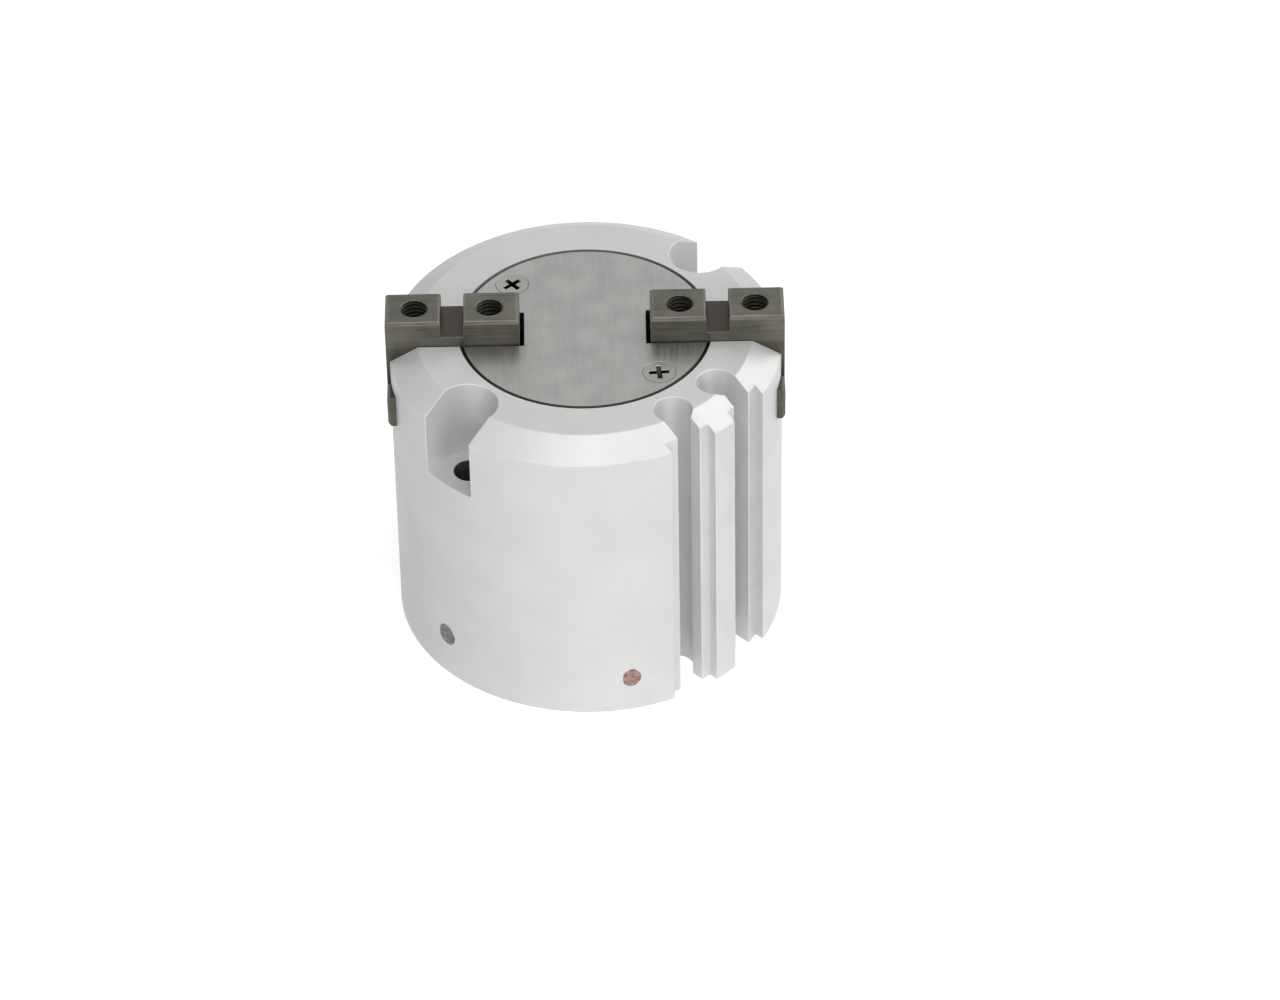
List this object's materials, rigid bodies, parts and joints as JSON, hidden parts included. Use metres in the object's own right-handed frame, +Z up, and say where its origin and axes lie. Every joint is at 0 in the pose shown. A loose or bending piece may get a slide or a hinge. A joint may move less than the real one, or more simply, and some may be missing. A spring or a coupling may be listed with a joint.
{
  "type": "pneumatic parallel gripper",
  "caption": "Round-bodied air gripper whose fingers slide apart and together in T-slots on top, driven by a piston and wedge cam, with side counterbores and position-switch grooves.",
  "frame": {"origin": "centre of the mounting face at the bottom of the body", "axes": "+Z up along the piston, +X along the finger travel, the switch grooves towards +X and -Y"},
  "size_m": [0.0424, 0.042, 0.0394],
  "materials": {
    "anodised_body": "bead blasted and clear anodised",
    "plate_stainless": "ground stainless sheet",
    "finger_steel": "hardened and ground, dark",
    "screw_steel": "stainless, cold headed",
    "cam_steel": "hardened and ground",
    "rod_steel": "hard chromed",
    "piston_aluminium": "turned",
    "cap_aluminium": "turned and clear anodised",
    "ring_steel": "phosphated spring steel",
    "seal_rubber": "moulded",
    "magnet_rubber": "bonded magnet",
    "wear_plastic": "moulded guide ring"
  },
  "bodies": {
    "housing": {"body": "anodised_body", "end_plate": "plate_stainless", "end_plate_screws": "screw_steel", "rod_seal": "seal_rubber", "rod_side_bumper": "seal_rubber", "head_side_bumper": "seal_rubber", "end_cap": "cap_aluminium", "cap_seal": "seal_rubber", "retaining_ring": "ring_steel"},
    "piston_group": {"piston": "piston_aluminium", "piston_rod": "rod_steel", "rod_gasket": "seal_rubber", "piston_bolt": "screw_steel", "piston_seal": "seal_rubber", "wear_ring": "wear_plastic", "magnet": "magnet_rubber", "magnet_holder": "piston_aluminium", "wedge_cam": "cam_steel"},
    "finger_left": {"finger_left": "finger_steel"},
    "finger_right": {"finger_right": "finger_steel"}
  },
  "joints": [
    {"name": "piston_slide", "type": "slide", "parent": "housing", "child": "piston_group", "axis": [0, 0, 1], "range_m": [0, 0.0045]},
    {"name": "finger_left_slide", "type": "slide", "parent": "housing", "child": "finger_left", "axis": [-1, 0, 0], "range_m": [0, 0.003]},
    {"name": "finger_right_slide", "type": "slide", "parent": "housing", "child": "finger_right", "axis": [1, 0, 0], "range_m": [0, 0.003]}
  ],
  "couplings": [
    {"joint": "finger_left_slide", "follows": "piston_slide", "ratio": 0.66667},
    {"joint": "finger_right_slide", "follows": "piston_slide", "ratio": 0.66667}
  ]
}
